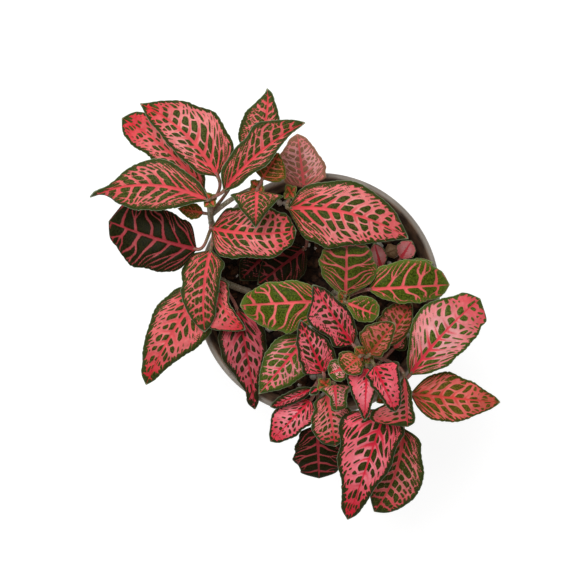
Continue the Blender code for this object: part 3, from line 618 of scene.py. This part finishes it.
def undersideMaterial():
    material, tree, shader = newMaterial("leaf_underside")
    inIsland, _, fromRib = attributeParts(tree, "veins")
    fine = noiseAt(tree, objectPlace(tree), 1200, 2)
    field = mixColours(tree, rampValue(tree, fine, 0.35, 0.65), tone(128, 132, 92), tone(150, 138, 104))
    base = mixColours(tree, rampValue(tree, fromRib, -0.04, 0.1), tone(196, 124, 112), field)
    base = mixColours(tree, rampValue(tree, inIsland, -0.02, 0.08, 0.45, 0), base, tone(190, 108, 100))
    finishShader(tree, shader, base, 0.62, fine, 0.3, 0.2)
    return material


def stemMaterial(name, dark, light, down):
    # two tones in patches, under a fine pale down
    material, tree, shader = newMaterial(name)
    place = objectPlace(tree)
    patches = rampValue(tree, noiseAt(tree, place, 220, 3), 0.35, 0.65)
    fine = noiseAt(tree, place, 1600, 2)
    base = mixColours(tree, patches, dark, light)
    base = mixColours(tree, rampValue(tree, fine, 0.5, 0.7, 0, down), base, tone(210, 206, 190))
    finishShader(tree, shader, base, 0.75, fine, 0.5, 0.3)
    return material


leafMaterials = {name: leafMaterial(name) for name in leafTones}
underside = undersideMaterial()
stemSkin = stemMaterial("stem", tone(108, 104, 76), tone(144, 128, 106), 0.6)
stalkSkin = stemMaterial("stalk", tone(104, 88, 52), tone(150, 86, 76), 0.3)
print("leaf and stem materials made")


# the leaf blades

blade = {
    "thickness": 0.5, "rows": (2.5, 24, 124), "columns": (2.6, 14, 68),  # a millimetre, fewest and most
    "stations": (0.08, 0.25, 0.45, 0.65, 0.83, 0.95), "leastHalf": 0.2, "tipHalf": 0.25, "tipShare": 0.02,
    "cup": 0.18, "toothPitch": 2.4, "halfRuffles": (8.0, 9.0), "groove": 0.30, "calmGap": 2.2,
}
# how the veins wander, how wide they are and how their corners round, as shares of the gap between veins
veining = {
    "forward": 1.3, "drift": (0.10, 2.2), "stray": 2.4, "rowDrift": (0.08, 1.3), "sizes": (-0.04, 0.05),
    "filling": (-0.4, 1.2), "solid": 0.12, "narrowing": 0.42, "fading": 0.22,
    "corner": 0.03, "forkCorner": 0.02, "islandCorner": 0.09, "edgeCorner": 0.4, "forkWidths": (0.8, 0.6),
    "firstFork": (0.15, 0.5, 0.42), "secondFork": (0.6, 0.9, 0.26),
}
# how full the pink net is and how that rises to the tip, its pale part (a painted highlight) and red parts,
# painted shade (below nothing, painted pale light), length of the islands, roll in degrees, twist and curl
# of the tip, waves and teeth of the margin
usualTraits = {
    "filled": 0, "rise": 0.6, "pale": 0.6, "redTip": 0.5, "redBase": 0.5, "baseReach": 0.16, "paintedShading": 0.0,
    "stretch": 0.4, "roll": 0, "twist": 0, "curl": 0, "wave": 0.55, "tooth": 0.5, "ragged": 0.055,
}


def trait(leaf, key):
    return leaf.own.get(key, usualTraits[key])


def leafLength(leaf):
    return float(np.linalg.norm(np.subtract(leaf.tip, leaf.base)))


def midribAt(leaf, t):
    base, tip = np.array(leaf.base, float), np.array(leaf.tip, float)
    left = unit(np.cross(up, tip - base))
    t = np.asarray(t, float)[..., None]
    lifted = (up * leaf.arch + left * leaf.bow) * 4 * t * (1 - t)
    droop = trait(leaf, "curl") * np.clip((t - 0.78) / 0.22, 0, 1) ** 2
    return base + (tip - base) * t + lifted - up * droop


def bladeAxes(leaf, t):
    # along the midrib, out to the right, and up from the blade
    along = unit(midribAt(leaf, t + nudge) - midribAt(leaf, t - nudge))
    side = unit(np.cross(along, up))
    normal = np.cross(side, along)
    turn = np.radians(trait(leaf, "roll") + trait(leaf, "twist") * smoothRamp(0.75, 1, t))[..., None]
    return along, side * np.cos(turn) + normal * np.sin(turn), normal * np.cos(turn) - side * np.sin(turn)


def outlineShare(leaf, t):
    rise, fall = 0.62, 1.25 - 0.6 * leaf.blunt
    peak = rise / (rise + fall)
    return (t / peak) ** rise * ((1 - t) / (1 - peak)) ** fall


def smoothThrough(stations, values, t):
    # a smooth curve through the values
    slopes = np.gradient(values, stations)
    spot = np.clip(np.searchsorted(stations, t, side="right") - 1, 0, len(stations) - 2)
    run = stations[spot + 1] - stations[spot]
    s = (t - stations[spot]) / run
    return bendBetween(values[spot], run * slopes[spot], values[spot + 1], run * slopes[spot + 1], s)


def halfWidth(leaf, t, across):
    # a leaf with its own outline has the widths of both halves at six stations, else it is a pointed oval
    thin = plant["stalkWidth"] / 2
    if "left" not in leaf.own:
        share = np.maximum(outlineShare(leaf, t), blade["tipShare"])
        return np.maximum(leaf.width / 2 * share, thin * (1 - t))
    stations = np.array([0.0, *blade["stations"], 1.0])
    halves = [np.array([thin, *leaf.own[key], blade["tipHalf"]]) for key in ("left", "right")]
    widths = [smoothThrough(stations, half, t) for half in halves]
    return np.maximum(np.where(across < 0, *widths), blade["leastHalf"])


def islandSeeds(dice, look, rows):
    # centres of the green islands in one half: one row between two side veins, then two rows past the fork
    seeds = []
    for gap in range(-5, look.pairs + 2):
        fork = look.fork + dice.uniform(-0.1, 0.1)
        along = dice.uniform(0.02, 0.12)
        while along < 1.1:
            count = 1 if along < fork else 2
            for k in range(count):
                x = gap + (k + 0.5) / count + dice.uniform(-0.12, 0.12) / count
                seeds.append((x, (along + dice.uniform(-0.3, 0.3) * count / rows * 0.5) * rows))
            along += dice.uniform(0.8, 1.15) * (1.0 if count == 1 else 0.62) / rows
    return np.array(seeds)


def islandDepth(x, y, seeds, stretch):
    # how far each place is inside its island, and which island that is
    square = (x[:, None] - seeds[None, :, 0]) ** 2 + (y[:, None] - seeds[None, :, 1]) ** 2
    nearest = square.argmin(axis=1)
    apart = seeds[None, :, :] - seeds[nearest][:, None, :]
    away = np.hypot(apart[..., 0], apart[..., 1])
    itself = away < 1e-9
    away[itself] = 1
    real = np.hypot(apart[..., 0], apart[..., 1] / stretch)
    wall = (square - square.min(axis=1)[:, None]) / (2 * away) * (real / away)
    wall[itself] = np.inf
    return softLeast(veining["islandCorner"], wall), nearest


def forkPlaces(dice, look, x, out):
    # where, across the gap between two side veins, their two branches run
    lanes = look.pairs + 14
    gap = np.clip(np.floor(x).astype(int) + 7, 0, lanes - 1)

    def branch(low, high, earliest, latest, run):
        fromLow = dice.uniform(0, 1, lanes)[gap] < 0.5
        begin = dice.uniform(earliest, latest, lanes)[gap]
        moved = (high - low) * 0.5 * smoothRamp(0, run, out - begin)
        return np.where(fromLow, low + moved, high - moved)

    first = branch(np.zeros_like(x), np.ones_like(x), *veining["firstFork"])
    return first, branch(np.zeros_like(x), first, *veining["secondFork"])


def netWidth(leaf, t, outward):
    # half the width of the pink lines, as a share of the gap between two side veins
    look = veinForms[leaf.look]
    filling = trait(leaf, "filled") + trait(leaf, "rise") * t + 0.4 * outward**1.5
    filling = np.clip(filling, *veining["filling"])
    wide = look.net[0] + (look.net[1] - look.net[0]) * filling
    wide = wide + veining["solid"] * smoothRamp(0.9, 1.2, filling)
    return wide * (1 - veining["narrowing"] * smoothRamp(look.fork - 0.1, look.fork + 0.15, outward))


def veinPattern(leaf, t, across, dice):
    # depth in the islands, distance from the edge and off the veins, and the gap between two side veins
    look = veinForms[leaf.look]
    length, half, pairs = leafLength(leaf), leaf.width / 2, look.pairs
    reach = math.hypot(look.slant * length, half)
    spacing = length * half / (pairs * reach)
    stretch = trait(leaf, "stretch")
    rows = stretch * reach / spacing
    outward = np.abs(across)
    lean = look.slant * outward ** veining["forward"]
    local = halfWidth(leaf, t, across)
    edge = softLeast(veining["edgeCorner"], (1 - outward) * local, (1 - t) * length * 0.5)
    band = leaf.own.get("band", look.band)
    inField = smoothRamp(0.3 * band, 1.1 * band, edge + 0.3 * wobble(dice, t * length + across * 7, 2.3))
    ribWide = (look.rib[0] + (look.rib[1] - look.rib[0]) * outward) * inField**0.5
    midribWide = look.midrib * (1 - 0.75 * t) * inField**0.5
    offMidrib = (outward * local - midribWide) / spacing
    netWide = netWidth(leaf, t, outward)
    island, offRib = np.zeros_like(t), np.zeros_like(t)
    for sign in (-1, 1):
        here = np.sign(across + 1e-9) == sign
        out, field = outward[here], inField[here]
        x = (t[here] - lean[here]) / (1 - lean[here]) * pairs + dice.uniform(0, 1)
        drift = veining["drift"][0] * wobble(dice, x, veining["drift"][1])
        stray = look.stray * wobble(dice, out * 2.2 + x * 0.8, veining["stray"]) * out
        x = x + drift + stray
        y = out * rows + veining["rowDrift"][0] * wobble(dice, x, veining["rowDrift"][1])
        seeds = islandSeeds(dice, look, rows)
        inside, nearest = islandDepth(x, y, seeds, stretch)
        size = dice.uniform(*veining["sizes"], len(seeds))[nearest]
        offVein = np.abs(x - np.round(x)) - ribWide[here]
        if look.forked:
            for branch, share in zip(forkPlaces(dice, look, x, out), veining["forkWidths"]):
                offFork = np.abs(x - np.floor(x) - branch) - share * ribWide[here]
                offVein = softLeast(veining["forkCorner"], offVein, offFork)
        net = (netWide[here] + size) * field - 0.25 * (1 - field)
        island[here] = softLeast(veining["corner"], inside - net, offVein, offMidrib[here])
        faded = veining["fading"] * smoothRamp(0.15, 0.9, 0.75 * t[here] + 0.5 * out)
        offRib[here] = softLeast(veining["corner"], offVein + faded, offMidrib[here] + 0.4 * faded)
    return island, edge, offRib, spacing


def marginHalf(leaf, t, across, arc, fade, dice):
    # the half width with its uneven margin and its teeth
    sideWave = np.where(across > 0, wobble(dice, t, 0.34), wobble(dice, t, 0.34))
    half = halfWidth(leaf, t, across) * (1 + trait(leaf, "ragged") * sideWave * fade)
    teeth = np.abs(np.sin(arc * math.pi / blade["toothPitch"] + across)) ** 0.7
    sharp = np.clip(0.55 + 0.7 * wobble(dice, arc, 6.0), 0, 1.2)
    return half + trait(leaf, "tooth") * (teeth - 0.5) * sharp * np.abs(across) ** 4 * fade


def reliefHeight(leaf, island, edge, offRib, spacing):
    # islands puffed up between the veins, which lie in grooves, calmer on small leaves
    puff = veinForms[leaf.look].quilt * (1 - np.exp(-np.clip(island + 0.12, 0, 1) / 0.16))
    groove = blade["groove"] * np.exp(-np.clip(offRib + 0.06, 0, 3) ** 2 / 0.012)
    return (puff - groove) * smoothRamp(0, 1.2, edge) * min(1, spacing / blade["calmGap"])


def paintedLightAndTintAt(leaf, t, outward):
    # the pale part is a painted highlight over the middle of the blade; the red at tip and base is the
    # leaf's own
    pale = trait(leaf, "pale") * np.exp(-((t - 0.45) / 0.28) ** 2 - (outward / 0.75) ** 2)
    reach = trait(leaf, "baseReach")
    red = trait(leaf, "redTip") * smoothRamp(0.6, 0.95, t)
    red = red + trait(leaf, "redBase") * np.exp(-t / reach - outward / (2.5 * reach))
    return pale, red, np.full_like(t, trait(leaf, "paintedShading"))


def gridCount(size, perMillimetre, fewest, most):
    return int(np.clip(size * perMillimetre, fewest, most))


def makeBlade(name, leaf, dice):
    length = leafLength(leaf)
    rows = gridCount(length, *blade["rows"])
    columns = gridCount(leaf.width, *blade["columns"]) // 2 * 2
    piece = newGrid(columns, rows)
    piece.name = name
    start = readPoints(piece.data)
    across = start[:, 0].copy()
    outward = np.abs(across)
    share = (start[:, 1] + 1) / 2
    t = 0.55 * share + 0.45 * (0.5 - 0.5 * np.cos(np.pi * share))  # rows lie closer at the base and tip
    t = np.clip(t, 0, 1)
    island, edge, offRib, spacing = veinPattern(leaf, t, across, dice)
    arc = t * length
    fade = np.sin(np.pi * t) ** 0.5
    half = marginHalf(leaf, t, across, arc, fade, dice)
    ruffleLeft, ruffleRight = blade["halfRuffles"]
    ruffle = np.where(across > 0, wobble(dice, arc, ruffleRight), wobble(dice, arc, ruffleLeft))
    fold = math.radians(leaf.fold)
    lift = half * (outward * math.sin(fold) - blade["cup"] * outward**2)
    wave = trait(leaf, "wave") * ruffle * outward**2.5 * fade
    relief = reliefHeight(leaf, island, edge, offRib, spacing)
    side, normal = bladeAxes(leaf, t)[1:]
    place = midribAt(leaf, t) + side * (half * across * math.cos(fold))[:, None]
    writePoints(piece.data, inPot(place + normal * (lift + wave + relief)[:, None]))
    for label, values in (("veins", (island, edge, offRib)), ("paintedLightAndTint", paintedLightAndTintAt(leaf, t, outward))):
        layer = piece.data.attributes.new(label, "FLOAT_VECTOR", "POINT")
        layer.data.foreach_set("vector", np.stack(values, axis=1).ravel())
    piece.data.materials.append(leafMaterials[leaf.look])
    piece.data.materials.append(underside)
    bpy.ops.object.shade_smooth()
    applyModifier(piece, "SOLIDIFY", thickness=blade["thickness"] * mm, offset=-1, material_offset=1)
    return piece


# the stalks

stalk = {
    "waist": 0.12, "sunk": 0.4, "steps": 14,
    "midribEnd": 0.8, "midribSteps": 18, "midribTip": 0.16, "fullWidth": 16,
}


def makeTube(name, points, radii, material, corners=3):
    clearSelection()
    bpy.ops.curve.primitive_nurbs_path_add(location=(0, 0, 0))
    piece = bpy.context.object
    piece.name = name
    curve = piece.data
    curve.splines.clear()
    spline = curve.splines.new("POLY")
    spline.points.add(len(points) - 1)
    for point, place, radius in zip(spline.points, inPot(points), radii):
        point.co = (*place, 1)
        point.radius = radius
    curve.bevel_depth = mm
    curve.bevel_resolution = corners
    curve.use_fill_caps = True
    curve.materials.append(material)
    bpy.ops.object.convert(target="MESH")
    piece = bpy.context.object
    editAll(piece)
    bpy.ops.mesh.remove_doubles(threshold=0.001 * mm)
    turnFacesOut()
    bpy.ops.object.shade_smooth()
    return piece


def stalkPath(leaf):
    # from inside the stem along the stalk, then under the blade as a raised midrib
    centre, along, away = awayFromStem(leaf.shoot, leaf.at, leaf.base)
    base = np.array(leaf.base, float)
    tangent = bladeAxes(leaf, np.array([0.0]))[0][0]
    thick = plant["stalkWidth"] / 2
    if leaf.at == 1:  # a leaf at the very top leaves along the stem
        start, heading = centre + along * 0.2, along
    else:
        start, heading = centre + away * shoots[leaf.shoot].radius * stalk["sunk"], away
    reach = np.linalg.norm(base - start)
    points, radii = [], []
    for s in np.linspace(0, 1, stalk["steps"])[:-1]:
        points.append(bendBetween(start, heading * reach, base, tangent * reach, s))
        radii.append(thick * (1 - stalk["waist"] * math.sin(math.pi * s)))
    for t in np.linspace(0, stalk["midribEnd"], stalk["midribSteps"]):
        at = np.array([t])
        normal = bladeAxes(leaf, at)[2][0]
        left = (1 - t / stalk["midribEnd"]) ** 0.8
        radius = thick * left * min(1, leaf.width / stalk["fullWidth"]) + stalk["midribTip"]
        under = (blade["thickness"] + radius) * smoothRamp(-0.06, 0.06, t)
        points.append(midribAt(leaf, at)[0] - normal * under)
        radii.append(radius)
    return np.array(points), radii


for number, (name, leaf) in enumerate(leaves.items()):
    dice = np.random.RandomState(plant["seed"] + number)
    parts = [makeBlade(name + "_blade", leaf, dice)]
    if leaf.shoot:
        points, radii = stalkPath(leaf)
        parts.append(makeTube(name + "_stalk", points, radii, stalkSkin))
    piece = joinPieces(parts, name + "_blade")
    slotName = {"net": "netted", "dark": "shaded"}.get(leaf.look, leaf.look) + "_leaf"
    finishPiece(piece, slotName, name)
print("leaves made:", len(leaves))


# the stems, a little thicker where the leaves join

bark = {
    "steps": 70, "swelling": 0.2, "swellLength": 0.022, "uneven": 0.04, "unevenPitch": 0.08,
    "thinning": 0.35, "thinFrom": 0.3, "topFrom": 0.985, "topShare": 0.7, "corners": 5,
}
for name, shoot in shoots.items():
    dice = np.random.RandomState(len(name))
    shares = np.linspace(0, 1, bark["steps"])
    points = [stemPoint(name, s) for s in shares]
    if shoot.foot is not None:
        points.insert(0, np.array([*shoot.foot, plant["soilTop"] - plant["rooted"]]))
        shares = np.concatenate([[-0.1], shares])
    joints = [leaf.at for leaf in leaves.values() if leaf.shoot == name]
    swell = sum(np.exp(-((shares - at) / bark["swellLength"]) ** 2) for at in joints)
    swell = bark["swelling"] * np.clip(swell, 0, 1)
    uneven = bark["uneven"] * wobble(dice, shares, bark["unevenPitch"])
    taper = np.where(shares > bark["topFrom"], bark["topShare"], 1.0)
    taper = taper * (1 - bark["thinning"] * smoothRamp(bark["thinFrom"], 1, shares))
    radii = shoot.radius * (1 + swell + uneven) * taper
    piece = makeTube(name + "_bark", np.array(points), radii, stemSkin, bark["corners"])
    node = name if name.endswith("branch") else name + "_stem"
    finishPiece(piece, "stem", node)
print("stems made:", len(shoots))


# a bud of small unopened leaves at the top of each shoot

bud = {
    "reach": (3.2, 4.6), "rise": 1.4, "leaves": 4, "sink": 0.6, "sizes": {"rosette_shoot": 1.4},
    "form": (0.6, 14, 0.5),  # arch, fold and bluntness
    "traits": {"wave": 0.1, "tooth": 0.1, "band": 0.5},
}
for name, shoot in shoots.items():
    top = np.array(shoot.top, float)
    dice = np.random.RandomState(40 + len(name))
    parts = []
    for k in range(bud["leaves"]):
        turn = math.pi / 2 * (k + 0.5) + dice.uniform(-0.3, 0.3)
        reach = dice.uniform(*bud["reach"]) * bud["sizes"].get(name, 1)
        tip = top + np.array([math.cos(turn) * reach, math.sin(turn) * reach, bud["rise"] * (k % 2)])
        start = top + up * bud["sink"] * (k % 2 - 0.5)
        young = LeafForm(name, 1, start, tip, reach, 0, *bud["form"], "young", bud["traits"])
        parts.append(makeBlade(name + "_bud", young, dice))
    finishPiece(joinPieces(parts, name + "_bud"), "young_leaf")
print("buds made")


# the soil, with loose bark and grains on it

soil = {
    "radius": 49.2, "steps": 110, "depth": 12.0, "taper": 0.955, "sunk": 0.6,
    "dark": tone(22, 14, 10), "light": tone(54, 36, 26),
}
looseBits = {
    "bark_chunks": {
        "count": 260, "reach": 47, "sizes": (1.6, 4.2), "flatness": 0.45, "lift": 0.15, "seed": 5,
        "finish": ("bark", tone(44, 28, 18), tone(92, 60, 40), 420, 0.85),
    },
    "soil_grains": {
        "count": 90, "reach": 47, "sizes": (1.4, 3.0), "flatness": 0.9, "lift": 0.25, "seed": 6,
        "finish": ("grain", tone(206, 196, 184), tone(236, 230, 222), 700, 0.9),
    },
}


def soilHeight(x, y):
    # broad swells, folded clumps and fine crumbs
    spot = Vector((x, y, 0))
    clumps = noise.noise(spot * 0.09) * 1.3 + abs(noise.noise(spot * 0.22)) * 1.5
    return plant["soilTop"] - soil["sunk"] + clumps + noise.noise(spot * 0.7) * 0.45


def makeSoil():
    # a round sheet at the bottom, extruded up, narrowed below and roughened above
    piece = newGrid(soil["steps"], soil["steps"])
    points = readPoints(piece.data)
    x, y = points[:, 0].copy(), points[:, 1].copy()
    square = np.maximum(np.abs(x), np.abs(y))
    spread = np.hypot(x, y)
    scale = np.divide(square, spread, out=np.ones_like(spread), where=spread > 0) * soil["radius"]
    bottom = np.full_like(x, plant["rimHeight"] + plant["soilTop"] - soil["depth"])
    writePoints(piece.data, np.stack([x * scale, y * scale, bottom], axis=1) * mm)
    editAll(piece)
    bpy.ops.mesh.extrude_region_move(TRANSFORM_OT_translate={"value": (0, 0, soil["depth"] * mm)})
    turnFacesOut()
    points = readPoints(piece.data)
    low = points[:, 2] < (plant["rimHeight"] + plant["soilTop"] - soil["depth"] / 2) * mm
    points[low, :2] *= soil["taper"]
    heights = [soilHeight(a, b) + plant["rimHeight"] for a, b in points[~low, :2] / mm]
    points[~low, 2] = np.array(heights) * mm
    writePoints(piece.data, points)
    bpy.ops.object.shade_smooth()
    return piece


def crumbMaterial(name, dark, light, scale, roughness):
    material, tree, shader = newMaterial(name)
    place = objectPlace(tree)
    patches = rampValue(tree, noiseAt(tree, place, scale, 4), 0.38, 0.62)
    fine = noiseAt(tree, place, scale * 6, 3)
    setInputs(tree, shader, {"Specular IOR Level": 0.25})
    finishShader(tree, shader, mixColours(tree, patches, dark, light), roughness, fine, 0.8, 0.6)
    return material


def scatter(name, bits, material):
    # one crumb is shaped, then copied, turned and sized over the soil
    clearSelection()
    bpy.ops.mesh.primitive_cube_add(size=1)
    crumb = bpy.context.object
    editAll(crumb)
    bpy.ops.mesh.subdivide(number_cuts=1, smoothness=0.7)
    bpy.ops.object.mode_set(mode="OBJECT")
    bpy.ops.object.shade_smooth()
    crumb.data.materials.append(material)
    dice = np.random.RandomState(bits["seed"])
    points = readPoints(crumb.data)
    copies = []
    while len(copies) < bits["count"]:
        x, y = dice.uniform(-bits["reach"], bits["reach"], 2)
        if math.hypot(x, y) > bits["reach"]:
            continue
        copy = crumb.copy()
        copy.data = crumb.data.copy()
        bpy.context.scene.collection.objects.link(copy)
        writePoints(copy.data, points * dice.uniform(0.75, 1.25, points.shape))
        size = dice.uniform(*bits["sizes"])
        copy.scale = Vector((size, size * dice.uniform(0.6, 1), size * bits["flatness"])) * mm
        tilt = dice.uniform(-0.5, 0.5, 3)
        copy.rotation_euler = Euler(tilt + np.array([0, 0, dice.uniform(0, fullTurn)]))
        height = soilHeight(x, y) + plant["rimHeight"] + size * bits["lift"]
        copy.location = Vector((x, y, height)) * mm
        copies.append(copy)
    bpy.data.objects.remove(crumb)
    return joinPieces(copies, name)


soilPiece = makeSoil()
soilPiece.name = "soil_bed"
soilPiece.data.materials.append(crumbMaterial("soil", soil["dark"], soil["light"], 260, 0.95))
finishPiece(soilPiece, "soil", "potting_soil")
for name, bits in looseBits.items():
    finishPiece(scatter(name, bits, crumbMaterial(*bits["finish"])), "soil")
print("soil made")
